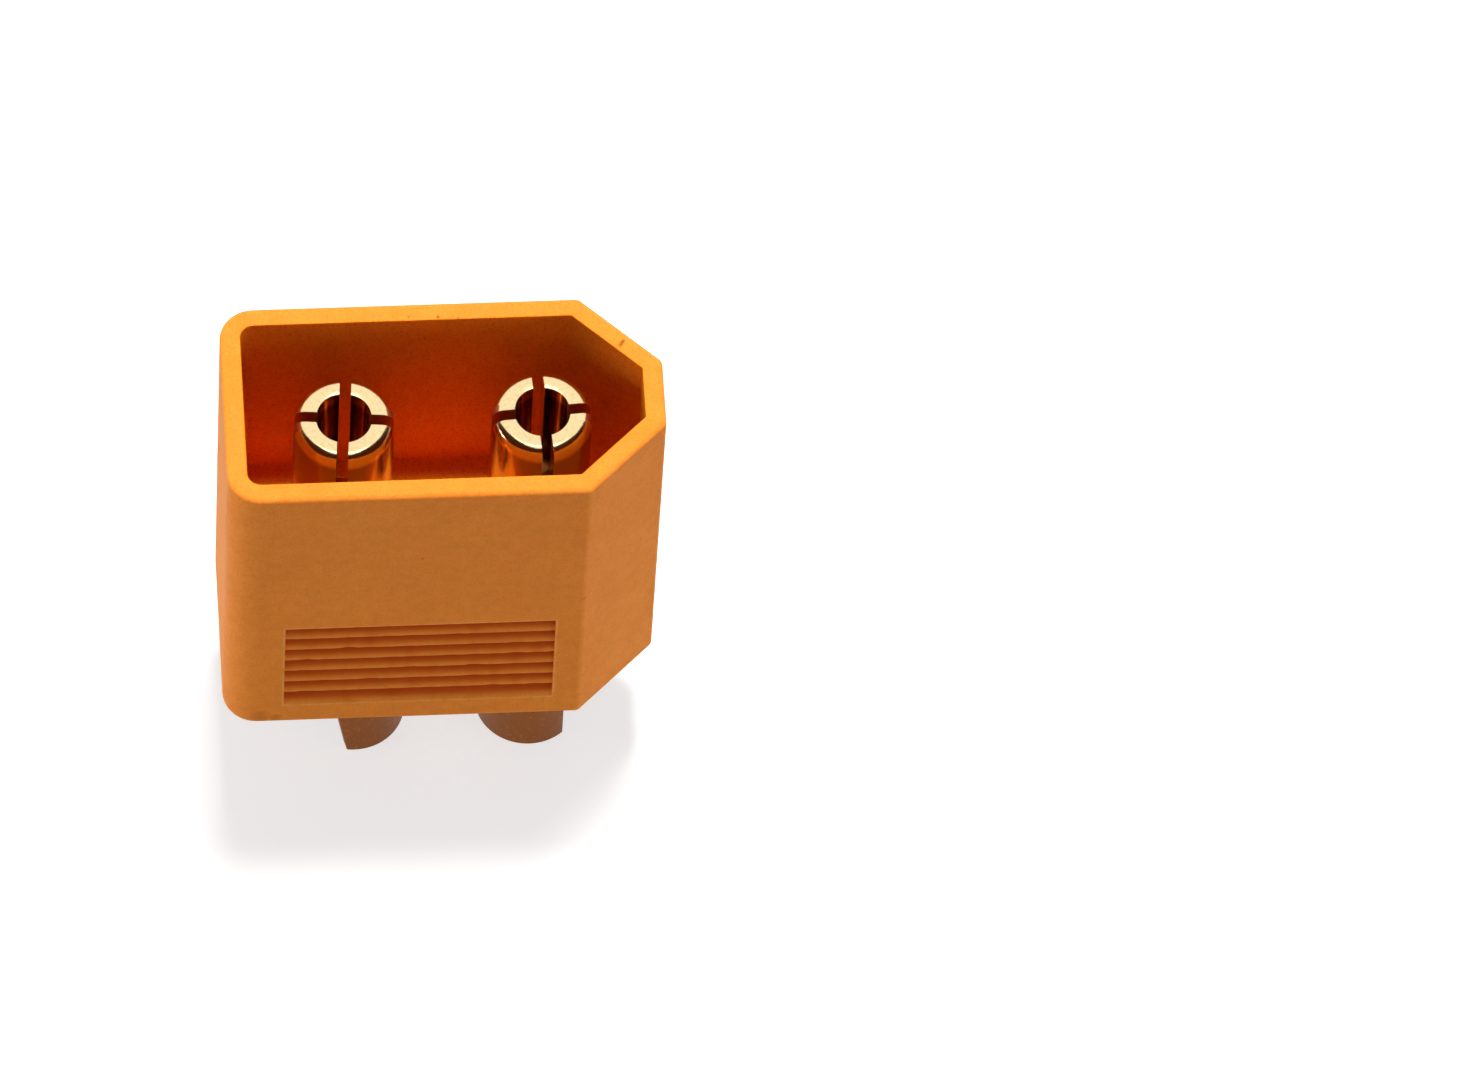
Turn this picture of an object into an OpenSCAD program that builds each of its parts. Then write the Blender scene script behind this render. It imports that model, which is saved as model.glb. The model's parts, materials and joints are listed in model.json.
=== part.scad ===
// Two-pole battery lead connector, shrouded half.
// A moulded nylon housing carries two turned, gold-plated contacts. Each contact is
// one piece of brass: a split bullet pin in the cavity, a collared stem held in the
// moulding, and a solder cup behind it. The housing has one flat side and one pointed
// side, so that the mating half fits only one way round.
// The origin is under the middle of the pair of contacts, at the ends of the solder
// cups. +Z points out of the mouth, and +X towards the pointed side.

/* [Housing] */
// Width from the flat side to the tip of the pointed side
housing_w = 16; // [14:0.1:20]
// Thickness from broad face to broad face
housing_t = 8.2; // [7:0.1:10]
// Height from the rear face to the rim of the mouth
housing_h = 16; // [13:0.1:20]
// Thickness of the wall round the cavity
wall = 0.75; // [0.5:0.05:1]
// Depth of the cavity below the rim
cavity_depth = 9.8; // [8:0.1:11.8]
// Length of the pointed side, along the width
point_len = 2.9; // [2:0.1:3.5]
// Width of the flat at the tip of the pointed side
point_flat = 2.7; // [2:0.1:3.5]
// Outer corner radius on the flat side
corner_r = 1.25; // [1:0.05:1.5]
// Outer corner radius on the pointed side
point_corner_r = 0.3; // [0.1:0.05:0.5]

/* [Grip panels] */
// Depth of the panels in the broad faces
panel_depth = 0.3; // [0.1:0.05:0.5]
// Height of each panel
panel_h = 5.5; // [4:0.1:7]
// Distance from the rear face to the panels
panel_rear = 1.3; // [0.8:0.1:2]
// Distance from the flat side to the panels
panel_side = 2.2; // [1.5:0.1:3]
// Distance from the panels to the start of the pointed side
panel_point_side = 1; // [0.5:0.1:2]
// Number of ribs in each panel
rib_count = 6; // [3:1:9]
// Length of the last slope, which runs out into the broad face without a step
rib_rear_strip = 0.9; // [0.3:0.1:1.5]
// How far the crests of the ribs lie below the broad face
rib_crest_drop = 0.03; // [0:0.01:0.08]

/* [Pins] */
// Distance between the two pins
pin_pitch = 7.2; // [6.8:0.1:8]
// Diameter of each pin
pin_d = 3.5; // [3:0.1:3.7]
// Thickness of the pin's leaves, round its blind bore
pin_wall = 0.75; // [0.6:0.05:0.9]
// Depth of the blind bore, without its drill point
pin_bore_depth = 7.6; // [6:0.1:8]
// Distance from the rim of the mouth down to the pin tips
pin_setback = 1.15; // [0.5:0.05:2]
// Radius round the outer edge of the pin tip
pin_nose_r = 0.3; // [0.1:0.05:0.45]
// Width of the two crossed slots that split the pin into four leaves
slot_w = 0.42; // [0.3:0.02:0.6]
// Depth of the slots below the pin tip
slot_depth = 7.2; // [4:0.1:7.6]
// Turn of the slots of the positive pin
positive_slot_turn = -5; // [-45:1:45]
// Turn of the slots of the negative pin
negative_slot_turn = 4; // [-45:1:45]

/* [Solder cups] */
// Outer diameter of each solder cup
cup_d = 3.9; // [3.6:0.1:4.4]
// Wall of each solder cup
cup_wall = 0.35; // [0.25:0.05:0.5]
// Length of the cup behind the rear face
cup_len = 6; // [4:0.1:8]
// Length of the cup's full round stretch behind the rear face
cup_ring_len = 1.5; // [1:0.1:2]
// Distance from the end of the cup's bore to the rear face, without its drill point
cup_bore_stop = 0.4; // [0.2:0.1:0.8]
// Distance from the axis out to the flat cut that opens the cup
scoop_offset = 0.8; // [0.6:0.05:1.1]
// Radius at the inner end of the flat cut
scoop_r = 0.8; // [0.3:0.1:1.2]
// Turn of the open side of both cups
cup_turn = 16; // [-45:1:45]

/* [Stem in the moulding] */
// Diameter of the two collars that lock the stem
collar_d = 4.8; // [4.6:0.1:5.2]
// Thickness of each collar
collar_len = 1; // [0.8:0.1:1.2]
// Diameter of the groove between the collars
groove_d = 2.8; // [2.4:0.1:2.8]
// Diameter of the neck that shuts off at the cavity floor
neck_d = 3.9; // [3.9:0.1:4.2]
// Radial gap between the stem and the moulding
mould_gap = 0.01; // [0.01:0.01:0.05]

/* [Hidden] */
$fn = 64;
eps = 0.01;
drill_half_angle = 59;                 // half the angle of a drill's point
pin_root = 0.5;                        // how far the pin runs down inside the neck

rear_z = cup_len;                      // rear face of the housing
rim_z = rear_z + housing_h;            // rim of the mouth
floor_z = rim_z - cavity_depth;        // floor of the cavity
tip_z = rim_z - pin_setback;           // tips of the pins
pin_bore_d = pin_d - 2 * pin_wall;
cup_bore_d = cup_d - 2 * cup_wall;
half_w = housing_w / 2;
half_t = housing_t / 2;
point_x = half_w - point_len;          // where the slopes of the pointed side start
panel_x = [-half_w + panel_side, point_x - panel_point_side];
panel_z = [rear_z + panel_rear, rear_z + panel_rear + panel_h];
rib_pitch = (panel_h - rib_rear_strip) / rib_count;
stem_len = floor_z - rear_z;           // stretch of the stem inside the moulding
collar_gap = (stem_len - 2 * collar_len) / 3;
collar_z = [for (i = [0, 1]) rear_z + collar_gap + i * (collar_gap + collar_len)];

NYLON = [0.80, 0.44, 0.12];
GOLD = [0.93, 0.75, 0.36];

// Corners of the housing's outline, set in from the outer walls by d. The two slopes
// move in square to themselves, so the wall is the same all round.
function outline(d) =
    let (slope = [half_t - point_flat / 2, point_len],
         n = slope / norm(slope),
         x0 = -half_w + d,
         x1 = half_w - d,
         xs = point_x - d * (1 - n[1]) / n[0],
         y1 = half_t - d,
         yt = point_flat / 2 - d * (1 - n[0]) / n[1])
    [[x0, -y1], [xs, -y1], [x1, -yt], [x1, yt], [xs, y1], [x0, y1]];

// Radii of the same corners, smaller by d on the inside of a wall
function outline_radii(d) =
    let (flat = max(corner_r - d, 0),
         point = max(point_corner_r - d, 0))
    [flat, point, point, point, point, flat];

function unit(v) = v / norm(v);

// A convex outline with its corners rounded by arcs
module rounded(corners, radii) {
    count = len(corners);
    arcs = [for (i = [0 : count - 1])
        let (p = corners[i],
             a = unit(corners[(i + count - 1) % count] - p),
             b = unit(corners[(i + 1) % count] - p),
             half = acos(a * b) / 2,
             r = radii[i])
        [p + a * r / tan(half), p + b * r / tan(half), p + unit(a + b) * r / sin(half), r]];
    polygon([for (arc = arcs) each arc[3] > 0 ? [arc[0], arc[1]] : [arc[0]]]);
    for (arc = arcs)
        if (arc[3] > 0) translate(arc[2]) circle(arc[3]);
}

// Everything that a grip panel takes out of the broad face at -Y. Each rib slopes out
// towards the rear and ends in a sharp step. The last slope runs out into the face.
module panel_cut() {
    outside = -half_t - 1;
    deep = -half_t + panel_depth;
    crest = -half_t + rib_crest_drop;
    teeth = [for (i = [0 : rib_count - 1])
        each [[deep, panel_z[1] - i * rib_pitch], [crest, panel_z[1] - (i + 1) * rib_pitch]]];
    outline = concat([[outside, panel_z[1]]], teeth,
        [[deep, panel_z[1] - rib_count * rib_pitch], [-half_t, panel_z[0]], [outside, panel_z[0]]]);
    translate([panel_x[0], 0, 0])
        rotate([90, 0, 90]) linear_extrude(panel_x[1] - panel_x[0]) polygon(outline);
}

// Outline of the stem from the rear face to the cavity floor, as radius and height,
// made wider by gap for the hole that the moulding forms round it
module stem_profile(gap) {
    cup_r = cup_d / 2 + gap;
    collar_r = collar_d / 2 + gap;
    groove_r = groove_d / 2 + gap;
    neck_r = neck_d / 2 + gap;
    polygon([
        [0, rear_z - (gap > 0 ? eps : 0)], [cup_r, rear_z - (gap > 0 ? eps : 0)],
        [cup_r, collar_z[0] - gap], [collar_r, collar_z[0] - gap],
        [collar_r, collar_z[0] + collar_len + gap], [groove_r, collar_z[0] + collar_len + gap],
        [groove_r, collar_z[1] - gap], [collar_r, collar_z[1] - gap],
        [collar_r, collar_z[1] + collar_len + gap], [neck_r, collar_z[1] + collar_len + gap],
        [neck_r, floor_z + (gap > 0 ? eps : 0)], [0, floor_z + (gap > 0 ? eps : 0)]
    ]);
}

// Drilled hole that runs down from the origin and ends in the drill's point
module blind_bore(d, depth) {
    point_h = d / 2 / tan(drill_half_angle);
    translate([0, 0, -depth]) cylinder(d = d, h = depth + eps);
    translate([0, 0, -depth - point_h]) cylinder(d1 = 0, d2 = d, h = point_h);
}

// Split bullet pin that stands on the cavity floor, rooted in the stem's neck. Its round
// faces start in the middle of a leaf, clear of the slots.
module pin(turn) {
    pin_h = tip_z - floor_z + pin_root;
    rotate(turn) difference() {
        translate([0, 0, floor_z - pin_root]) rotate(45) {
            cylinder(d = pin_d, h = pin_h - pin_nose_r);
            cylinder(d = pin_d - 2 * pin_nose_r, h = pin_h);
            translate([0, 0, pin_h - pin_nose_r])
                rotate_extrude() translate([pin_d / 2 - pin_nose_r, 0])
                    intersection() {
                        circle(pin_nose_r);
                        square(pin_nose_r);
                    }
        }
        translate([0, 0, tip_z]) blind_bore(pin_bore_d, pin_bore_depth);
        for (a = [0, 90])
            rotate(a) translate([-pin_d, -slot_w / 2, tip_z - slot_depth])
                cube([2 * pin_d, slot_w, slot_depth + eps]);
    }
}

// Solder cup behind the housing, opened on its -X side by a flat cut whose inner end
// keeps the cutter's radius. A full ring is left next to the housing.
module cup_scoop() {
    cut_h = cup_len - cup_ring_len;
    mirror([1, 0, 0]) translate([scoop_offset, -cup_d, -eps]) {
        cube([cup_d, 2 * cup_d, cut_h - scoop_r + eps]);
        translate([scoop_r, 0, 0]) cube([cup_d, 2 * cup_d, cut_h + eps]);
        translate([scoop_r, 0, cut_h - scoop_r + eps])
            rotate([-90, 0, 0]) cylinder(r = scoop_r, h = 2 * cup_d);
    }
}

// One contact on the Z axis. The cup opens towards -X, turned by cup_angle.
module contact(slot_turn, cup_angle) {
    color(GOLD) {
        pin(slot_turn);
        difference() {
            union() {
                cylinder(d = cup_d, h = rear_z);
                rotate_extrude() stem_profile(0);
            }
            rotate([180, 0, 0]) blind_bore(cup_bore_d, cup_len - cup_bore_stop);
            rotate(cup_angle) cup_scoop();
        }
    }
}

// Nylon moulding with its cavity, its grip panels and the holes round the stems
module housing() {
    color(NYLON)
        difference() {
            translate([0, 0, rear_z]) linear_extrude(housing_h) rounded(outline(0), outline_radii(0));
            translate([0, 0, floor_z]) linear_extrude(cavity_depth + eps)
                rounded(outline(wall), outline_radii(wall));
            panel_cut();
            mirror([0, 1, 0]) panel_cut();
            for (side = [-1, 1])
                translate([side * pin_pitch / 2, 0, 0]) rotate_extrude() stem_profile(mould_gap);
        }
}

// Contact on the flat side
module contact_positive() {
    translate([-pin_pitch / 2, 0, 0]) contact(positive_slot_turn, cup_turn);
}

// Contact on the pointed side
module contact_negative() {
    translate([pin_pitch / 2, 0, 0]) contact(negative_slot_turn, 180 + cup_turn);
}

housing();
contact_positive();
contact_negative();
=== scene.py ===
# %% [markdown]
# # A two-pole battery lead connector, shrouded half
# The object is a small injection moulding of amber nylon, 16 mm wide, that holds two
# gold-plated contacts. Each contact is a split bullet pin in the open cavity and a solder
# cup behind the rear face. This lesson builds both kinds of piece with bmesh operators,
# gives them procedural finishes, and lights them in a small pale studio.
#
# The engineering model is loaded first and stays fixed. Its sizes could all be typed in
# again, but places that are read from it fit by themselves, with nothing judged by eye.

# %% Load the engineering model
import json
import math

import bmesh
import bpy
from mathutils import Matrix, Vector, noise

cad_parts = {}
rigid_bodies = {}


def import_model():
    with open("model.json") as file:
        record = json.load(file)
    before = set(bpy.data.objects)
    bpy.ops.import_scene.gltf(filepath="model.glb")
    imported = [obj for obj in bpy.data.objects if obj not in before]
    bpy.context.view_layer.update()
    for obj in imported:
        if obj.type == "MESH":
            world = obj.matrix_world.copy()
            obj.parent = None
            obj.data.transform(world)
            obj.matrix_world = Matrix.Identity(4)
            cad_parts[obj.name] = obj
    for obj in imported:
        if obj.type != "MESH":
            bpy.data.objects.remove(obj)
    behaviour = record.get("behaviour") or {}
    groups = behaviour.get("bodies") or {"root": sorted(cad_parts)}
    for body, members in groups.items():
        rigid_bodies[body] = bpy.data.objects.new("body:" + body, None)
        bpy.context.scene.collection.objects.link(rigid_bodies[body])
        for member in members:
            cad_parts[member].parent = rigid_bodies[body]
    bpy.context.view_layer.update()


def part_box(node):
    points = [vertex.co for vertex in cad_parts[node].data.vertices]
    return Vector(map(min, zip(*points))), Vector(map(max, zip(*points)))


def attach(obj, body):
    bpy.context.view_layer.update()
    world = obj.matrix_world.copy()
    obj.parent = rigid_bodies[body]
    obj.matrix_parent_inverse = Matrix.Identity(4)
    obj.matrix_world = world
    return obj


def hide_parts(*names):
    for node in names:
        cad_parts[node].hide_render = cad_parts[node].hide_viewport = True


MM = 0.001
for unused in list(bpy.data.objects):
    bpy.data.objects.remove(unused)
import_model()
housing_low, housing_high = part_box("housing")

# %% [markdown]
# ## Putting a finished mesh into the scene
# Every piece below ends in the same way: its mesh goes into an object at the origin, its
# normals are recalculated so that faces point outwards, and the object rides on the model's
# one body. Each piece is also given the engineering node that it stands for, and that node is
# hidden.
#
# Flat shading would show the facets of every rounded edge, and plain smooth shading would
# make the large flat faces look bent. Weighted normals keep those faces flat while the
# small edges between them shade smoothly. Edges over a certain angle stay crisp.

# %% A helper that finishes a piece
CRISP_ANGLE = math.radians(40)


def finish_piece(name, bm, node):
    bmesh.ops.recalc_face_normals(bm, faces=bm.faces)
    mesh = bpy.data.meshes.new(name)
    bm.to_mesh(mesh)
    bm.free()
    mesh.shade_smooth()
    mesh.set_sharp_from_angle(angle=CRISP_ANGLE)
    piece = bpy.data.objects.new(name, mesh)
    bpy.context.collection.objects.link(piece)
    weighted = piece.modifiers.new("flat faces stay flat", "WEIGHTED_NORMAL")
    weighted.keep_sharp = True
    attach(piece, "root")
    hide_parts(node)
    print(name, len(mesh.polygons), "faces")
    return piece


# %% [markdown]
# ## The block of the housing
# Seen from its open end, the housing is a rectangle with one pointed side. The point is the
# key that stops the two halves from being joined the wrong way round. The block could be
# cut from a cube with planes, but with six vertices for the outline and one extrusion for
# the height, the point's length and its flat stay two plain numbers.

# %% Raise the block
POINT_LENGTH = 2.9 * MM
HALF_POINT_FLAT = 1.35 * MM

left, right = housing_low.x, housing_high.x
front, back = housing_low.y, housing_high.y
rear, rim = housing_low.z, housing_high.z
shoulder = right - POINT_LENGTH


def extrude(bm, faces, vec, keep=False):
    """Extrude faces by vec and return the moved vertices. The old faces go, unless kept."""
    made = bmesh.ops.extrude_face_region(bm, geom=faces)["geom"]
    moved = [g for g in made if isinstance(g, bmesh.types.BMVert)]
    bmesh.ops.translate(bm, verts=moved, vec=vec)
    if not keep:
        bmesh.ops.delete(bm, geom=faces, context="FACES")
    return moved


def is_closed(bm):
    return all(e.is_manifold for e in bm.edges)


housing = bmesh.new()
outline = [
    (left, front), (shoulder, front), (right, -HALF_POINT_FLAT),
    (right, HALF_POINT_FLAT), (shoulder, back), (left, back),
]
base = housing.faces.new([housing.verts.new((x, y, rear)) for x, y in outline])
extrude(housing, [base], (0, 0, rim - rear), keep=True)
print("block:", len(housing.verts), "vertices, closed:", is_closed(housing))

# %% [markdown]
# ## Its upright edges
# The mould has a large radius at the flat side and a small one at the pointed side. Rounded
# corners could be drawn in the outline already, but a bevel needs only the radius. A bevel
# measures its offset along the faces, so the radius is turned into that distance first.

# %% Round the upright edges
FLAT_SIDE_RADIUS = 1.25 * MM
POINT_SIDE_RADIUS = 0.3 * MM
TOUCHING = 0.01 * MM                # two places closer than this count as one


def near(value, target):
    return abs(value - target) < TOUCHING


def upright_edges(bm, test):
    """Upright edges with an end that passes the test."""
    return [
        e for e in bm.edges
        if abs(e.verts[0].co.z - e.verts[1].co.z) > MM and test(e.verts[0].co)
    ]


def round_edges(bm, edges, radius, segments):
    """Round edges to a true radius, whatever the angle between their faces."""
    angle = max(e.calc_face_angle(0) for e in edges)
    bmesh.ops.bevel(
        bm, geom=edges, offset=radius * math.tan(angle / 2), offset_type="OFFSET",
        segments=segments, profile=0.5, affect="EDGES", material=-1,
    )


at_flat_side = upright_edges(housing, lambda p: near(p.x, left))
round_edges(housing, at_flat_side, FLAT_SIDE_RADIUS, segments=10)
for x in (shoulder, right):
    at_x = upright_edges(housing, lambda p: near(p.x, x))
    round_edges(housing, at_x, POINT_SIDE_RADIUS, segments=4)
print("rounded block:", len(housing.verts), "vertices, closed:", is_closed(housing))

# %% [markdown]
# ## The cavity
# The mouth of the housing is an even wall round an open cavity. A smaller block could be
# subtracted from the large one, but insetting the top face makes the wall's thickness all
# round in one step, and extruding the inner face downwards sinks the cavity. Insetting a
# small rounded corner by more than its radius folds it over itself, so at the pointed side
# the folded vertices are merged into the sharp corner that the real mould has there.

# %% Inset the rim and sink the cavity
WALL = 0.75 * MM
CAVITY_DEPTH = 9.8 * MM
FOLD_REACH = 0.6 * MM               # folded vertices lie within this of their corner

top = max(housing.faces, key=lambda f: f.calc_center_median().z)
bmesh.ops.inset_region(housing, faces=[top], thickness=WALL, use_even_offset=True)

slope = Vector((POINT_LENGTH, back - HALF_POINT_FLAT)).normalized()
inner_shoulder = shoulder - WALL * (1 - slope.x) / slope.y
inner_point = HALF_POINT_FLAT - WALL * (1 - slope.y) / slope.x
for x, y in ((inner_shoulder, back - WALL), (right - WALL, inner_point)):
    for side in (-1, 1):
        corner = Vector((x, side * y, rim))
        folded = [v for v in top.verts if (v.co - corner).length < FOLD_REACH]
        bmesh.ops.pointmerge(housing, verts=folded, merge_co=corner)

rim_faces = [f for f in housing.faces if all(near(v.co.z, rim) for v in f.verts)]
top = max(rim_faces, key=lambda f: f.calc_area())
extrude(housing, [top], (0, 0, -CAVITY_DEPTH))
floor_z = rim - CAVITY_DEPTH
print("cavity floor at", round(floor_z / MM, 2), "mm, closed:", is_closed(housing))

# %% [markdown]
# ## Rounded rims and base
# A mould can't fill a knife edge, so the outer rim and the edge of the rear face are
# slightly round, and a small fillet joins the cavity's floor to its walls. The inner rim
# stays nearly sharp, where the core of the mould shuts off. A Bevel modifier would give
# them all one radius. Here each loop is picked by its height and bevelled by itself, as a
# whole, which keeps its width even round the corners.

# %% Find the level loops
def level_loop(bm, z, slack=0.2):
    """Edges at height z between a level face and an upright one, to within some radians."""
    return [
        e for e in bm.edges
        if near(e.verts[0].co.z, z) and near(e.verts[1].co.z, z)
        and abs(e.calc_face_angle(0) - math.pi / 2) < slack
    ]


def depth_in_wall(p):
    """How far a point lies inside the outline of the housing."""
    to_slope = (right - p.x) * slope.y + (HALF_POINT_FLAT - abs(p.y)) * slope.x
    return min(p.x - left, right - p.x, back - abs(p.y), to_slope)


def inside_mouth(p):
    """Whether a point is on or within the inner rim, which lies a wall's thickness in."""
    return depth_in_wall(p) > 0.9 * WALL


housing.normal_update()
rim_loop = level_loop(housing, rim)
inner_loop = [e for e in rim_loop if all(inside_mouth(v.co) for v in e.verts)]
outer_loop = [e for e in rim_loop if e not in inner_loop]
print("rim:", len(outer_loop), "outer and", len(inner_loop), "inner edges")

# %% Soften the rim, the rear edge and the cavity's floor
RIM_RADIUS = 0.2 * MM
INNER_RIM_RADIUS = 0.05 * MM
REAR_RADIUS = 0.2 * MM
FLOOR_RADIUS = 0.12 * MM

round_edges(housing, outer_loop, RIM_RADIUS, segments=4)
round_edges(housing, inner_loop, INNER_RIM_RADIUS, segments=2)
round_edges(housing, level_loop(housing, rear), REAR_RADIUS, segments=4)
round_edges(housing, level_loop(housing, floor_z), FLOOR_RADIUS, segments=3)
print("after rounding:", len(housing.faces), "faces, closed:", is_closed(housing))

# %% [markdown]
# ## Two finishes on one moulding
# The cavity is shaped by a polished core and the outside by an eroded mould. The inside gets a
# finish of its own, a deeper and darker amber, which is painted shade for the dim, deep
# cavity. Splitting the mesh in two would open a seam along the rim, so it stays whole, and the
# faces of the cavity ask for the object's second material.

# %% Mark the faces of the cavity
# The faces of the cavity get the darker copy of the nylon, which is painted shade.
SHADED_CAVITY_FINISH = 1

housing.normal_update()
for f in housing.faces:
    centre = f.calc_center_median()
    if inside_mouth(centre) and centre.z > rear + MM:
        f.material_index = SHADED_CAVITY_FINISH
print("cavity:", sum(f.material_index == SHADED_CAVITY_FINISH for f in housing.faces), "faces")

# %% [markdown]
# ## Grip panels
# Each broad face has a sunken panel with ribs for the fingers. A rib swells outwards
# towards the rear and drops back in a sharp step; the last one runs out into the face.
# The ribs could be solids of their own, joined on, but their ends would then have to meet
# the panel's frame exactly. Instead the broad face is scored with cutting planes, as with
# a knife along a ruler. The panel that this frames is pushed in by one extrusion, and each
# row of vertices is pulled out to its place on the rib's curve. Extra upright cuts let the
# rows waver a little, as they do where the mould was cut by hand.

# %% The curve of the ribs
PANEL_DEPTH = 0.3 * MM
PANEL_X = (left + 2.2 * MM, shoulder - 1.0 * MM)    # from and to, across
PANEL_Z = (rear + 1.3 * MM, rear + 6.8 * MM)        # from and to a height
RIB_COUNT = 6
LAST_SLOPE = 0.9 * MM               # height of the slope that runs out into the face
CREST_DROP = 0.03 * MM              # the crests stay this far below the face
STEP = 0.02 * MM                    # height over which a crest drops back
ROWS_ON_RIB = (0.35, 0.6, 0.8, 0.93)                # as shares of its height

rib_pitch = (PANEL_Z[1] - PANEL_Z[0] - LAST_SLOPE) / RIB_COUNT


def swell(t):
    """Rise of a rib from 0 at its root to 1 at its crest, half straight and half a sine."""
    return 0.5 * t + 0.5 * math.sin(t * math.pi / 2)


rows = []                           # height of each row, and how far it is pulled out
for i in range(RIB_COUNT + 1):
    last = i == RIB_COUNT
    upper = PANEL_Z[1] - i * rib_pitch
    length = LAST_SLOPE if last else rib_pitch
    rise = PANEL_DEPTH if last else PANEL_DEPTH - CREST_DROP
    if i:
        rows.append((upper - STEP, 0))
    rows += [(upper - t * length, rise * (t if last else swell(t))) for t in ROWS_ON_RIB]
    rows.append((upper - length, rise))
print(len(rows), "rows across the panel, ribs", round(rib_pitch / MM, 3), "mm apart")


# %% Score a panel on a broad face
COLUMNS = 48
SNAP = 0.001 * MM                   # vertices closer than this become one


def score(bm, faces, point, normal):
    """Cut only these faces with a plane, and return the faces that they became."""
    edges = dict.fromkeys(e for f in faces for e in f.edges)    # each one once, in order
    verts = dict.fromkeys(v for f in faces for v in f.verts)
    cut = bmesh.ops.bisect_plane(
        bm, geom=[*faces, *edges, *verts], plane_co=point, plane_no=normal, dist=SNAP,
    )
    return [g for g in cut["geom"] if isinstance(g, bmesh.types.BMFace)]


def between(value, span):
    return span[0] - TOUCHING < value < span[1] + TOUCHING


def score_panel(bm, outward):
    """Frame a panel on one broad face, rule its rows and columns, and return its faces."""
    facing = (f for f in bm.faces if f.normal.y * outward > 0.99)
    faces = [max(facing, key=lambda f: f.calc_area())]
    for x in PANEL_X:
        faces = score(bm, faces, (x, 0, 0), (1, 0, 0))
    faces = [f for f in faces if between(f.calc_center_median().x, PANEL_X)]
    for z in PANEL_Z:
        faces = score(bm, faces, (0, 0, z), (0, 0, 1))
    faces = [f for f in faces if between(f.calc_center_median().z, PANEL_Z)]
    for z, _ in rows[:-1]:
        faces = score(bm, faces, (0, 0, z), (0, 0, 1))
    for i in range(1, COLUMNS):
        x = PANEL_X[0] + (PANEL_X[1] - PANEL_X[0]) * i / COLUMNS
        faces = score(bm, faces, (x, 0, 0), (1, 0, 0))
    return faces


# %% Sink the panels and raise their ribs
WAVES_PER_MM = 1.3
RIBS_APART, SIDES_APART = 7, 3      # steps through the noise from rib to rib, side to side
WAVER_IN = 0.05 * MM                # how far a wavering crest may lie too low
WAVER_UP = 0.04 * MM                # how far a row may wander up or down


def waver(x, z, outward):
    """Smooth noise along a rib, from its own stretch for each rib and each side."""
    rib = round(z / rib_pitch)
    place = Vector((x / MM * WAVES_PER_MM, rib * RIBS_APART, outward * SIDES_APART))
    return noise.noise(place)


def raise_ribs(verts, outward):
    last_row = rows[-1][0]
    for v in verts:
        z = v.co.z
        for row, out in rows:
            if abs(z - row) < 2 * SNAP:
                # The last row lies flush in the broad face, so it stays straight.
                shake = 0 if row == last_row else waver(v.co.x, z, outward)
                v.co.y += outward * (out - WAVER_IN * abs(shake) * out / PANEL_DEPTH)
                v.co.z += WAVER_UP * shake


for outward in (-1, 1):
    panel = score_panel(housing, outward)
    raise_ribs(extrude(housing, panel, (0, -outward * PANEL_DEPTH, 0)), outward)
    outer_verts = [v for v in housing.verts if v.co.y * outward > back - WALL / 2]
    bmesh.ops.remove_doubles(housing, verts=outer_verts, dist=2 * SNAP)
print("panels:", len(housing.faces), "faces, closed:", is_closed(housing))

# %% [markdown]
# ## Turning a contact
# A contact is turned on a lathe from brass bar, so it starts as the outline of one half,
# which is spun round the axis. A stack of cylinders would have to be joined, and couldn't
# follow the slight swell of the pin. The outline runs from the bottom of the solder cup's
# bore, out round the cup, up the stem and the pin, over the tip and down the pin's own
# bore. Both ends lie on the axis, so the solid is closed once doubles are merged there.

# %% The lathe outline
PIN_R = 1.75 * MM
PIN_SWELL = (                       # how much wider the pin is, and at what height
    (0.03 * MM, 14 * MM), (0.08 * MM, 17 * MM), (0.09 * MM, 19 * MM),
)
NOSE_R = 1.81 * MM
PIN_BORE_R = 1.0 * MM
PIN_BORE_DEPTH = 7.6 * MM
CUP_R = 1.95 * MM
CUP_BORE_R = 1.6 * MM
CUP_BORE_DEPTH = 5.6 * MM
COLLAR_R = 2.4 * MM
COLLARS = ((7.4 * MM, 8.4 * MM), (9.8 * MM, 10.8 * MM))     # from and to a height
GROOVE_R = 1.4 * MM

tip_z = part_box("contact_positive")[1].z
drill_slope = math.tan(math.radians(118 / 2))       # a drill leaves a cone of 118 degrees


def collared_stem(gap):
    """The outline of the two collars and the groove between them, grown by gap."""
    (foot, step_in), (step_out, head) = COLLARS
    return [
        (CUP_R + gap, foot - gap), (COLLAR_R + gap, foot - gap),
        (COLLAR_R + gap, step_in + gap), (GROOVE_R + gap, step_in + gap),
        (GROOVE_R + gap, step_out - gap), (COLLAR_R + gap, step_out - gap),
        (COLLAR_R + gap, head + gap), (CUP_R + gap, head + gap),
    ]


turned = [
    (0, CUP_BORE_DEPTH + CUP_BORE_R / drill_slope), (CUP_BORE_R, CUP_BORE_DEPTH),
    (CUP_BORE_R, 0), (CUP_R, 0), *collared_stem(0), (CUP_R, floor_z), (PIN_R, floor_z),
    *((PIN_R + wider, z) for wider, z in PIN_SWELL), (NOSE_R, tip_z), (PIN_BORE_R, tip_z),
    (PIN_BORE_R, tip_z - PIN_BORE_DEPTH),
    (0, tip_z - PIN_BORE_DEPTH - PIN_BORE_R / drill_slope),
]
print("lathe outline:", len(turned), "points, tip at", round(tip_z / MM, 2), "mm")


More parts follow.
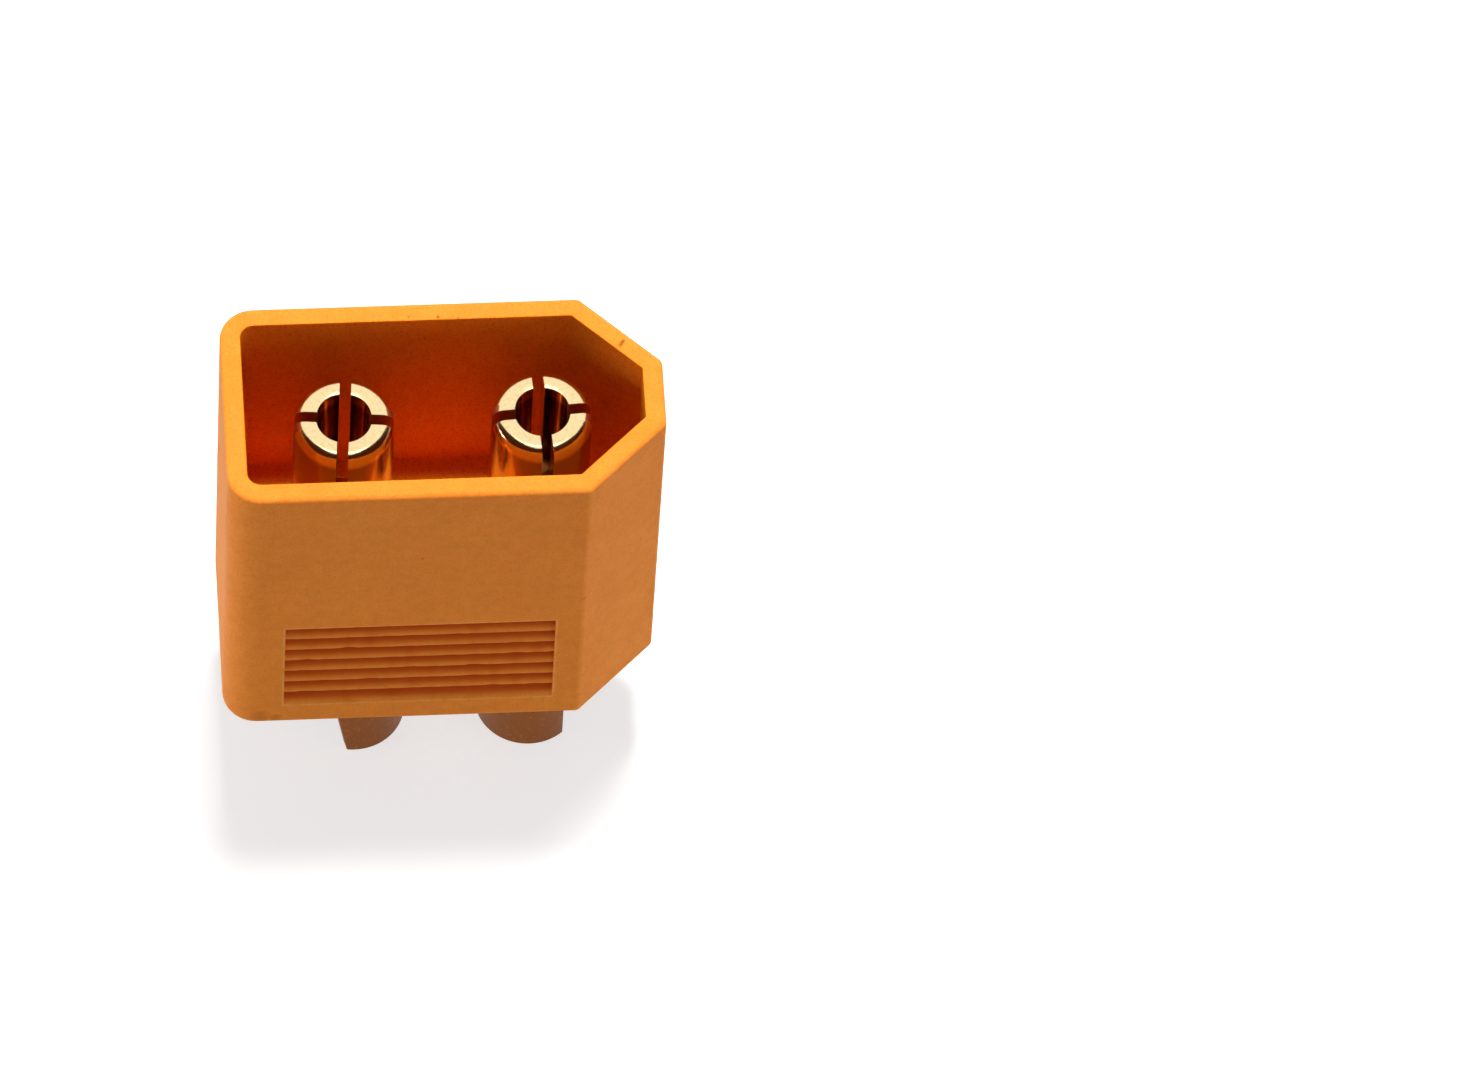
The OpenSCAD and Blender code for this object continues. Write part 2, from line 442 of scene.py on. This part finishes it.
# %% Spin an outline
def turn(outline, steps=96):
    bm = bmesh.new()
    verts = [bm.verts.new((r, 0, z)) for r, z in outline]
    edges = [bm.edges.new(pair) for pair in zip(verts, verts[1:])]
    bmesh.ops.spin(
        bm, geom=verts + edges, cent=(0, 0, 0), axis=(0, 0, 1), angle=2 * math.pi,
        steps=steps, use_merge=True, use_duplicate=False,
    )
    bmesh.ops.remove_doubles(bm, verts=bm.verts, dist=SNAP)
    bmesh.ops.recalc_face_normals(bm, faces=bm.faces)
    return bm


def ring(bm, r, z):
    """The edges of one turned circle."""
    return [
        e for e in bm.edges
        if all(near(v.co.z, z) and near(math.hypot(v.co.x, v.co.y), r) for v in e.verts)
    ]


# %% [markdown]
# ## Milling the slots and the cup
# Two crossed saw cuts split the pin into four leaves, and a milling cutter opens one side
# of the solder cup. A cutting plane goes through everything and can't stop half way down a
# pin, so both are cut with Boolean modifiers, whose cutters have the shapes of the real
# tools. The result is read back as a plain mesh, and its new edges are deburred with a
# small bevel.

# %% Shapes of the cutters
SLOT_WIDTH = 0.42 * MM
SLOT_DEPTH = 7.2 * MM
SCOOP_OFFSET = 0.8 * MM             # the cup is cut open this far off its axis
SCOOP_END = 4.5 * MM
SCOOP_RADIUS = 0.8 * MM
REACH = 5 * MM                      # cutters are longer than the work is wide


def block(low, high):
    bm = bmesh.new()
    bmesh.ops.create_cube(bm, size=1)
    low, high = Vector(low), Vector(high)
    bmesh.ops.scale(bm, verts=bm.verts, vec=high - low)
    bmesh.ops.translate(bm, verts=bm.verts, vec=(low + high) / 2)
    return bm


def turned_round(bm, angle):
    """The same bmesh, turned round the contact's axis."""
    spun = Matrix.Rotation(angle, 3, "Z")
    bmesh.ops.rotate(bm, verts=bm.verts, cent=(0, 0, 0), matrix=spun)
    return bm


def saw_blade(angle):
    half, foot = SLOT_WIDTH / 2, tip_z - SLOT_DEPTH
    return turned_round(block((-REACH, -half, foot), (REACH, half, tip_z + MM)), angle)


def cup_cutter(angle):
    bm = block((-REACH, -REACH, -MM), (-SCOOP_OFFSET, REACH, SCOOP_END))
    corner = [
        e for e in bm.edges
        if all(near(v.co.x, -SCOOP_OFFSET) and near(v.co.z, SCOOP_END) for v in e.verts)
    ]
    round_edges(bm, corner, SCOOP_RADIUS, segments=10)
    return turned_round(bm, angle)


# %% Cutting with Boolean modifiers
def mill(bm, cutters, operation="DIFFERENCE"):
    """Cut each cutter out of bm, or join it on, and return the result as a new bmesh."""
    meshes = []
    for part in [bm, *cutters]:
        meshes.append(bpy.data.meshes.new("milling"))
        part.to_mesh(meshes[-1])
        part.free()
    objects = [bpy.data.objects.new("milling", m) for m in meshes]
    for o in objects:
        bpy.context.collection.objects.link(o)
    for cutter in objects[1:]:
        cut = objects[0].modifiers.new("cut", "BOOLEAN")
        cut.operation, cut.solver, cut.object = operation, "EXACT", cutter
    evaluated = objects[0].evaluated_get(bpy.context.evaluated_depsgraph_get())
    milled = bmesh.new()
    milled.from_mesh(evaluated.to_mesh())
    for o in objects:
        bpy.data.objects.remove(o)
    for m in meshes:
        bpy.data.meshes.remove(m)
    return milled


# %% Break the sharp edges that the tools leave
BURR_WIDTH = 0.03 * MM
BURR_ANGLE = math.radians(50)


def deburr(bm, slot_turn, cup_angle):
    def along(p, angle):
        return p.x * math.cos(angle) + p.y * math.sin(angle)

    def cut_by_tool(p):
        """Whether p is on the cup where it is open, or on a wall of a slot."""
        if p.z < SCOOP_END + TOUCHING:
            return along(p, cup_angle) < -0.99 * SCOOP_OFFSET
        if p.z < tip_z - SLOT_DEPTH - TOUCHING:
            return False
        sides = (along(p, slot_turn), along(p, slot_turn + math.pi / 2))
        return any(near(abs(side), SLOT_WIDTH / 2) for side in sides)

    sharp = [
        e for e in bm.edges
        if e.is_manifold and e.calc_face_angle(0) > BURR_ANGLE
        and all(cut_by_tool(v.co) for v in e.verts)
    ]
    bmesh.ops.bevel(
        bm, geom=sharp, offset=BURR_WIDTH, offset_type="OFFSET", segments=1, profile=0.5,
        affect="EDGES", material=-1, clamp_overlap=True,
    )
    print("deburred", len(sharp), "edges, closed:", is_closed(bm))


# %% Make both contacts
PITCH = 7.2 * MM
CUP_TURN = math.radians(16)
NOSE_RADIUS = 0.42 * MM
BORE_EDGE_RADIUS = 0.05 * MM
BENT_BY = 0.65 * MM                 # the end of one cup was bent when it was handled


def make_contact(x, slot_turn, cup_angle, bend):
    bm = turn(turned)
    round_edges(bm, ring(bm, NOSE_R, tip_z), NOSE_RADIUS, segments=8)
    round_edges(bm, ring(bm, PIN_BORE_R, tip_z), BORE_EDGE_RADIUS, segments=2)
    slots = [saw_blade(slot_turn), saw_blade(slot_turn + math.pi / 2)]
    bm = mill(bm, slots + [cup_cutter(cup_angle)])
    deburr(bm, slot_turn, cup_angle)
    for v in bm.verts:
        if v.co.z < rear:
            v.co.x += bend * (1 - v.co.z / rear) ** 2
    bmesh.ops.translate(bm, verts=bm.verts, vec=(x, 0, 0))
    return bm


positive = make_contact(-PITCH / 2, math.radians(-5), CUP_TURN, BENT_BY)
negative = make_contact(PITCH / 2, math.radians(4), CUP_TURN + math.pi, 0)
contacts = [
    finish_piece("contact_positive_turned", positive, "contact_positive"),
    finish_piece("contact_negative_turned", negative, "contact_negative"),
]

# %% [markdown]
# ## The holes round the stems
# The real housing is moulded round its contacts, so its holes have the stems' own outline,
# collars and all. Plain round holes would look the same from outside, but would leave the
# contacts loose. The stem's part of the lathe outline is spun again, a hundredth of a
# millimetre larger, and milled out of the housing.

# %% Cut the holes
GAP = 0.01 * MM

hole = [
    (0, rear - MM), (CUP_R + GAP, rear - MM), *collared_stem(GAP),
    (CUP_R + GAP, floor_z + MM), (0, floor_z + MM),
]
stems = []
for x in (-PITCH / 2, PITCH / 2):
    bm = turn(hole)
    bmesh.ops.translate(bm, verts=bm.verts, vec=(x, 0, 0))
    stems.append(bm)
housing = mill(housing, stems)
print("holes cut:", len(housing.faces), "faces, closed:", is_closed(housing))

# %% [markdown]
# ## Signs of polarity
# Whoever solders the leads on looks at the rear face, so low bars are raised there: a plus
# beside the cup at the flat side, and a minus beside the cup at the pointed side. Bars laid
# on the face would be loose pieces. These are part of the moulding, so they reach into it
# and are joined on.

# %% Raise the signs and finish the housing
SIGN_LENGTH = 1.3 * MM
SIGN_WIDTH = 0.35 * MM
SIGN_HEIGHT = 0.15 * MM
SIGN_X = 6.75 * MM


def bar(x, along_x, along_y):
    """A bar half in the rear face and half out of it."""
    half = Vector((along_x, along_y, 2 * SIGN_HEIGHT)) / 2
    middle = Vector((x, 0, rear))
    return block(middle - half, middle + half)


signs = [
    bar(-SIGN_X, SIGN_LENGTH, SIGN_WIDTH), bar(-SIGN_X, SIGN_WIDTH, SIGN_LENGTH),
    bar(SIGN_X, SIGN_WIDTH, SIGN_LENGTH),
]
housing = mill(housing, signs, "UNION")
print("signs raised, closed:", is_closed(housing))
housing_piece = finish_piece("housing_moulding", housing, "housing")

# %% [markdown]
# ## Shader maths in plain Python
# A finish is a network of nodes. It could be wired by hand in the editor, or node by node
# in code, but either way it is hard to see what the network computes. A small class that
# wraps a socket lets Python's own operators add the nodes, so a mask reads as a formula.

# %% A socket that does arithmetic
class Wire:
    """One output socket. Arithmetic on it adds Math nodes to its material."""

    def __init__(self, tree, socket):
        self.tree, self.socket = tree, socket

    def node(self, kind, settings, output=0, **inputs):
        """Add any node: first its settings, then the values or wires of its sockets.

        A socket goes by its name, with _ for a space, or by i and its number.
        """
        made = self.tree.nodes.new(kind)
        for key, value in settings.items():
            setattr(made, key, value)
        for key, value in inputs.items():
            numbered = key[0] == "i" and key[1:].isdigit()
            socket = made.inputs[int(key[1:]) if numbered else key.replace("_", " ")]
            if isinstance(value, Wire):
                self.tree.links.new(value.socket, socket)
            else:
                socket.default_value = value
        return None if output is None else Wire(self.tree, made.outputs[output])

    def math(self, operation, first, second=0.0):
        return self.node("ShaderNodeMath", {"operation": operation}, i0=first, i1=second)

    def __add__(self, other):
        return self.math("ADD", self, other)

    def __sub__(self, other):
        return self.math("SUBTRACT", self, other)

    def __rsub__(self, other):
        return self.math("SUBTRACT", other, self)

    def __mul__(self, other):
        return self.math("MULTIPLY", self, other)

    __radd__ = __add__
    __rmul__ = __mul__

    def ramp(self, low, high):
        """0 where this wire is below low, 1 above high, and a smooth rise between."""
        return self.node("ShaderNodeMapRange", {"interpolation_type": "SMOOTHSTEP"},
                         Value=self, From_Min=low, From_Max=high)

    def mix(self, first, second):
        """The colour first where this wire is 0, second where it is 1."""
        return self.node("ShaderNodeMix", {"data_type": "RGBA"}, output=2,
                         i0=self, i6=first, i7=second)


# %% Helpers that every finish uses
def new_finish(name):
    """A material with a Principled shader; returns it, the shader and the place in mm."""
    material = bpy.data.materials.new(name)
    material.use_nodes = True
    tree = material.node_tree
    shader = tree.nodes["Principled BSDF"]
    place = Wire(tree, None).node("ShaderNodeTexCoord", {}, output="Object")
    in_mm = place.node("ShaderNodeMapping", {}, Vector=place, Scale=(1 / MM, 1 / MM, 1 / MM))
    return material, shader, in_mm


def pattern(place, scale, detail):
    """Noise with about scale waves per millimetre."""
    return place.node("ShaderNodeTexNoise", {}, Vector=place, Scale=scale, Detail=detail)


def axis(place, letter):
    return place.node("ShaderNodeSeparateXYZ", {}, output=letter, Vector=place)


def feed(shader, name, wire):
    wire.tree.links.new(wire.socket, shader.inputs[name])


def feed_relief(shader, height, strength, distance=0.03 * MM):
    feed(shader, "Normal", height.node(
        "ShaderNodeBump", {}, Height=height, Strength=strength, Distance=distance
    ))


def report(material):
    print(material.name, len(material.node_tree.nodes), "nodes")


# %% [markdown]
# ## Amber nylon
# The housing is nylon with a little glass fibre. It is matte, lets some light in, and shows
# the fine grain of an eroded mould. Painted maps could carry its dirt and wear, but they would
# need an unwrapped mesh. Instead the patterns are worked out from a point's place on the piece
# in millimetres, so they stay where they are from every side. Some of them are painted light.
# Painted shade darkens the sunken grip panels, and their grooves most of all. A painted
# highlight makes a pale line round each panel and lightens the crests of its ribs. One
# function makes the finish twice, and the copy for the cavity is deeper and darker in colour,
# as painted shade.

# %% Masks for places on a piece
def band(wire, low, high, edge):
    """1 between low and high, fading to 0 over the width of edge outside them."""
    return wire.ramp(low - edge, low) * (1 - wire.ramp(high, high + edge))


def spot(place, centre, radius):
    """1 at centre, fading to 0 at radius."""
    away = place.node(
        "ShaderNodeVectorMath", {"operation": "DISTANCE"}, output="Value", i0=place, i1=centre
    )
    return 1 - away.ramp(0.4 * radius, radius)


def panel_area(across, height, wider, edge):
    """1 on the outline of the grip panels made wider all round, all in mm."""
    inside = band(across, PANEL_X[0] / MM - wider, PANEL_X[1] / MM + wider, edge)
    return inside * band(height, PANEL_Z[0] / MM - wider, PANEL_Z[1] / MM + wider, edge)


# %% Masks for the grip panels
MASK_EDGE = 0.03                    # mm over which the panels' own mask fades
BORDER = 0.05                       # mm: width of the painted highlight round a panel


def panel_masks(across, height, depth):
    """Four masks, from the place across and up, and the depth below the broad face in mm."""
    in_panel = panel_area(across, height, 0, MASK_EDGE)
    on_face = 1 - depth.ramp(0.0, 0.05)
    # A pale line round each panel and a little on the rib crests: painted highlight.
    border_highlight = panel_area(across, height, BORDER, BORDER) * (1 - in_panel) * on_face
    crest = in_panel * (1 - depth.ramp(0.04, 0.08)) * depth.ramp(0.0, 0.01)
    above_cavity = 1 - depth.ramp(PANEL_DEPTH / MM + 0.01, PANEL_DEPTH / MM + 0.03)
    # The sunken panel gets painted shade, and its grooves get the most.
    sunk_shade = depth.ramp(0.03, 0.12) * above_cavity * in_panel
    groove_shade = depth.ramp(0.02, 0.19) * sunk_shade
    return border_highlight, crest, sunk_shade, groove_shade


# %% Dark marks, with painted shade in nicks on the rim
# The marks at a height of 22 mm lie on the rim and are painted shade where nicks would be; the
# rest are small dark spots.
MARKS = [                           # place and radius in mm, and how strongly it shows
    ((6.49, 2.00, 22.0), 0.11, 0.8), ((6.56, 2.10, 22.0), 0.11, 0.8),
    ((6.63, 2.20, 22.0), 0.10, 0.7), ((-0.04, 3.46, 22.0), 0.10, 0.7),
    ((-1.1, 3.52, 22.0), 0.08, 0.6), ((0.7, 3.42, 22.0), 0.07, 0.6),
    ((-6.66, -4.1, 6.53), 0.45, 0.35), ((-6.1, -4.1, 6.4), 0.30, 0.3),
    ((-7.61, -4.1, 19.24), 0.12, 0.7), ((5.08, -4.1, 14.3), 0.16, 0.25),
    ((5.08, -4.1, 13.4), 0.11, 0.2), ((-0.9, -4.1, 17.6), 0.10, 0.35),
]


def marked(place):
    return sum(strength * spot(place, centre, radius) for centre, radius, strength in MARKS)


print(len(MARKS), "marks, the largest", 2 * max(radius for _, radius, _ in MARKS), "mm across")


# %% The nylon finish
def nylon(name, light, dark, grain_speck_and_recess_shade, groove, paler, spots_and_nick_shade):
    material, shader, place = new_finish(name)
    shader.inputs["Subsurface Weight"].default_value = 0.25
    shader.inputs["Subsurface Radius"].default_value = (0.25, 0.08, 0.02)
    shader.inputs["Subsurface Scale"].default_value = MM
    shader.inputs["Specular IOR Level"].default_value = 0.06

    cloud = pattern(place, 0.5, 3)
    mottle = pattern(place, 2.2, 5)
    grain = pattern(place, 11.0, 4)
    speck = pattern(place, 7.0, 2)
    amber = (0.4 * cloud.ramp(0.35, 0.65) + 0.6 * mottle.ramp(0.35, 0.65)).mix(dark, light)
    amber = (0.5 * grain.ramp(0.5, 0.65)).mix(amber, grain_speck_and_recess_shade)
    amber = (0.4 * speck.ramp(0.62, 0.70)).mix(amber, grain_speck_and_recess_shade)

    across, out, height = (axis(place, letter) for letter in "XYZ")
    depth = back / MM - out.math("ABSOLUTE", out)
    border_highlight, crest, sunk_shade, groove_shade = panel_masks(across, height, depth)
    # Painted highlight: a pale line round each panel, and a little on the crests of the ribs.
    amber = (0.8 * border_highlight * mottle.ramp(0.3, 0.55) + 0.12 * crest).mix(amber, paler)
    # Painted shade: the sunken panel is darker, and its grooves darker still.
    amber = groove_shade.mix(sunk_shade.mix(amber, grain_speck_and_recess_shade), groove)
    # Dark marks, with painted shade where nicks on the rim would be.
    amber = (marked(place) * (0.4 + 0.6 * mottle.ramp(0.35, 0.6))).mix(amber, spots_and_nick_shade)

    feed(shader, "Base Color", amber)
    feed(shader, "Roughness", 0.5 + 0.2 * grain)
    feed_relief(shader, grain + 0.6 * speck + mottle, strength=0.35)
    report(material)
    return material


# %% Two nylon finishes on the housing
SPOTS_AND_NICK_SHADE = (0.30, 0.06, 0.005, 1)

outside = nylon(
    "amber_nylon", light=(0.98, 0.305, 0.040, 1), dark=(0.90, 0.272, 0.032, 1),
    grain_speck_and_recess_shade=(0.84, 0.20, 0.013, 1), groove=(0.56, 0.066, 0.001, 1),
    paler=(1.0, 0.42, 0.10, 1), spots_and_nick_shade=SPOTS_AND_NICK_SHADE,
)
# The copy for the cavity is deeper and darker all over: painted shade.
inside = nylon(
    "amber_nylon_cavity_shade", light=(1.0, 0.29, 0.019, 1), dark=(0.95, 0.265, 0.016, 1),
    grain_speck_and_recess_shade=(0.70, 0.14, 0.008, 1), groove=(0.60, 0.10, 0.006, 1),
    paler=(0.9, 0.3, 0.03, 1), spots_and_nick_shade=SPOTS_AND_NICK_SHADE,
)
for finish in (outside, inside):    # in the order of the faces' material numbers
    housing_piece.data.materials.append(finish)

# %% [markdown]
# ## Gold plate
# The plating is thin, bright and a little uneven. The pins are polished, because they slide
# into a mating socket, while the solder cups are dull, and the walls of the saw cuts are
# rough. A metal shows its colour only in what it mirrors. One even gold would do for a coin;
# here the colour changes along the contact's length, and most of that change is painted light.
# The gold is palest at the worn tip. Down the pin it is darker, as painted shade for the dim
# cavity round it, and below the moulding the cups are dark brown, as painted shade too. In the
# saw cuts it is red-brown, a painted reflection of the amber nylon.

# %% Masks for the gold
gold, shader, place = new_finish("gold_plate")
shader.inputs["Metallic"].default_value = 1

out, height = axis(place, "Y"), axis(place, "Z")
tip = tip_z / MM
on_pin = height.ramp(10, 12)
at_tip = height.ramp(tip - 0.75, tip - 0.35)
in_slot = on_pin * (1 - out.math("ABSOLUTE", out).ramp(0.36, 0.38))
in_slot = in_slot * (1 - height.ramp(tip - 0.06, tip - 0.03))
haze = pattern(place, 1.5, 4)
scuff = pattern(place, 6.0, 5)
print("gold: a pin's from 12 mm up, and a rubbed tip's above", round(tip - 0.35, 2), "mm")

# %% Colour and polish of the gold
# The cups' dark brown below the moulding is painted shade.
SHADED_CUP_GOLD = (0.25, 0.070, 0.005, 1)
# The deeper gold down the pin, below its tip, is painted shade.
SHADED_PIN_GOLD = (0.42, 0.26, 0.12, 1)
# The red-brown in the saw cuts is a painted reflection of the amber nylon; their roughness is
# real.
SAWN_GOLD_AMBER_REFLECTION = (0.70, 0.21, 0.08, 1)
TIP_GOLD = (0.98, 0.78, 0.42, 1)
RUBBED_TIP = (0.94, 0.66, 0.28, 1)
SCUFFED_GOLD = (0.55, 0.22, 0.05, 1)

tip_gold = (0.6 * scuff.ramp(0.45, 0.7)).mix(TIP_GOLD, RUBBED_TIP)
pin_gold = in_slot.mix(at_tip.mix(SHADED_PIN_GOLD, tip_gold), SAWN_GOLD_AMBER_REFLECTION)
plated = on_pin.mix(SHADED_CUP_GOLD, pin_gold)
plated = (0.35 * scuff.ramp(0.55, 0.75) * (1 - at_tip)).mix(plated, SCUFFED_GOLD)
feed(shader, "Base Color", plated)
feed(shader, "Roughness", 0.42 - 0.30 * on_pin + 0.06 * haze + 0.4 * in_slot)
feed_relief(shader, haze + 0.4 * scuff, strength=0.2)
for contact in contacts:
    contact.data.materials.append(gold)
report(gold)

# %% [markdown]
# ## A small pale studio
# The object stands on white paper. One large lamp could light it all, but it would make the
# upright walls as bright as the rims. A small overhead lamp lights the rims, and leaves the
# walls to the paper and to three weak lamps. The paper and the world look white by a glow
# that only looking rays meet: those from the camera, off metal or through glass. It throws
# no light on the object or the paper, so the shadow stays.
#
# Polished metal needs something to mirror. The pale world gives the tips their bright
# flats, and a dark dome round the front, which only mirrors see, gives the noses their dark
# band.

# %% Setting up stage pieces
def stage(name, bm, material):
    """An object that isn't part of the connector."""
    mesh = bpy.data.meshes.new(name)
    bm.to_mesh(mesh)
    bm.free()
    mesh.materials.append(material)
    piece = bpy.data.objects.new(name, mesh)
    bpy.context.collection.objects.link(piece)
    print(name, len(mesh.polygons), "faces")
    return piece


def empty_material(name):
    material = bpy.data.materials.new(name)
    material.use_nodes = True
    material.node_tree.nodes.clear()
    return material, Wire(material.node_tree, None)


def looking(start):
    """1 for a ray from the camera, off metal or through glass; 0 for one that lights."""
    camera_ray, glossy_ray, transmission_ray = (
        start.node("ShaderNodeLightPath", {}, output=f"Is {kind} Ray")
        for kind in ("Camera", "Glossy", "Transmission")
    )
    rays = camera_ray + glossy_ray + transmission_ray
    return rays.math("MINIMUM", rays, 1.0)


# %% Paper on the floor
PAPER_COLOUR = (0.5, 0.5, 0.5, 1)
PAPER_GLOW = 0.70
PAPER_HALF = 3                      # metres from the middle to an edge
WHITE = (1, 1, 1, 1)

paper, start = empty_material("white_paper")
matte = start.node("ShaderNodeBsdfDiffuse", {}, Color=PAPER_COLOUR)
glow = start.node("ShaderNodeEmission", {}, Color=WHITE, Strength=PAPER_GLOW * looking(start))
both = start.node("ShaderNodeAddShader", {}, i0=matte, i1=glow)
start.node("ShaderNodeOutputMaterial", {}, output=None, Surface=both)
floor_bm = bmesh.new()
bmesh.ops.create_grid(floor_bm, x_segments=1, y_segments=1, size=PAPER_HALF)
stage("floor", floor_bm, paper)

# %% The world
WORLD_LIGHT = 0.12

world = bpy.data.worlds.new("studio")
bpy.context.scene.world = world
world.use_nodes = True
world.node_tree.nodes.clear()
start = Wire(world.node_tree, None)
strength = WORLD_LIGHT + (1 - WORLD_LIGHT) * looking(start)
sky = start.node("ShaderNodeBackground", {}, Color=WHITE, Strength=strength)
start.node("ShaderNodeOutputWorld", {}, output=None, Surface=sky)
print("world: white to look at, and", WORLD_LIGHT, "as a light")

# %% Lamps
LAMPS_AIM = Vector((0, 0, 0.014))   # metres: inside the housing


def soft_box(name, place, size, watts, glossy):
    """A rectangular lamp that faces the object. Only a glossy one shows in the metal."""
    lamp = bpy.data.lights.new(name, "AREA")
    lamp.shape = "RECTANGLE"
    lamp.size, lamp.size_y = size
    lamp.energy = watts
    holder = bpy.data.objects.new(name, lamp)
    bpy.context.collection.objects.link(holder)
    holder.location = place
    towards = LAMPS_AIM - Vector(place)
    holder.rotation_euler = towards.to_track_quat("-Z", "Y").to_euler()
    holder.visible_glossy = glossy
    print(name, watts, "W,", round(towards.length, 2), "m away")


soft_box("key_box", (0.015, 0.056, 0.37), (0.06, 0.06), 1.8, False)
soft_box("back_box", (0, 0.50, 0.11), (0.8, 0.12), 0.35, False)
soft_box("spark_box", (0, 0.06, 0.36), (0.15, 0.05), 0.06, True)
soft_box("left_box", (-0.40, -0.02, 0.03), (0.12, 0.12), 0.7, True)
soft_box("low_box", (0.42, -0.18, 0.04), (0.1, 0.1), 0.46, False)

# %% The dark dome round the front
DOME_RADIUS = 0.6
DOME_STEPS = range(12, 79, 6)       # degrees above the floor
DOME_TURN = 230                     # degrees round the object
DOME_SEGMENTS = 32
DUSK = (0.050, 0.012, 0.005, 1)

dusk, start = empty_material("dusk")
dim = start.node("ShaderNodeEmission", {}, Color=DUSK, Strength=1.0)
start.node("ShaderNodeOutputMaterial", {}, output=None, Surface=dim)
dome_bm = bmesh.new()
arc = [
    dome_bm.verts.new((0, -DOME_RADIUS * math.cos(e), DOME_RADIUS * math.sin(e)))
    for e in map(math.radians, DOME_STEPS)
]
arc_edges = [dome_bm.edges.new(pair) for pair in zip(arc, arc[1:])]
to_start = Matrix.Rotation(math.radians(-DOME_TURN / 2), 3, "Z")
bmesh.ops.rotate(dome_bm, verts=arc, cent=(0, 0, 0), matrix=to_start)
bmesh.ops.spin(
    dome_bm, geom=arc + arc_edges, cent=(0, 0, 0), axis=(0, 0, 1),
    angle=math.radians(DOME_TURN), steps=DOME_SEGMENTS, use_merge=False,
    use_duplicate=False,
)
dome = stage("dark_dome", dome_bm, dusk)
dome.visible_camera = dome.visible_diffuse = dome.visible_shadow = False

# %% [markdown]
# ## Camera
# The camera could be pointed at the object by a constraint, but a hand-held camera is also
# tilted a little. So it starts looking straight down on the point that it aims at, is
# turned by three angles, and is drawn back along its own axis. The angles are how far round
# the object it stands, how far it leans from straight down, and the tilt. A long lens keeps
# the verticals almost parallel.

# %% The camera
AIM = Vector((10.636, -1.508, 13.928)) * MM
DISTANCE = 539.138 * MM
ROUND, LEAN, TILT = (math.radians(a) for a in (-7.423, 30.633, 4.474))
FOCAL_LENGTH, SENSOR_WIDTH = 362.3, 36      # mm, as printed on a lens

turned_and_tilted = (
    Matrix.Rotation(ROUND, 4, "Z") @ Matrix.Rotation(LEAN, 4, "X")
    @ Matrix.Rotation(TILT, 4, "Z")
)
drawn_back = Matrix.Translation((0, 0, DISTANCE))
lens = bpy.data.cameras.new("camera")
lens.lens, lens.sensor_width = FOCAL_LENGTH, SENSOR_WIDTH
lens.clip_start, lens.clip_end = 0.01, 10
camera = bpy.data.objects.new("camera", lens)
bpy.context.collection.objects.link(camera)
camera.matrix_world = Matrix.Translation(AIM) @ turned_and_tilted @ drawn_back
bpy.context.scene.camera = camera
bpy.context.scene.view_settings.view_transform = "Standard"
print("camera at", [round(c / MM) for c in camera.matrix_world.translation], "mm")
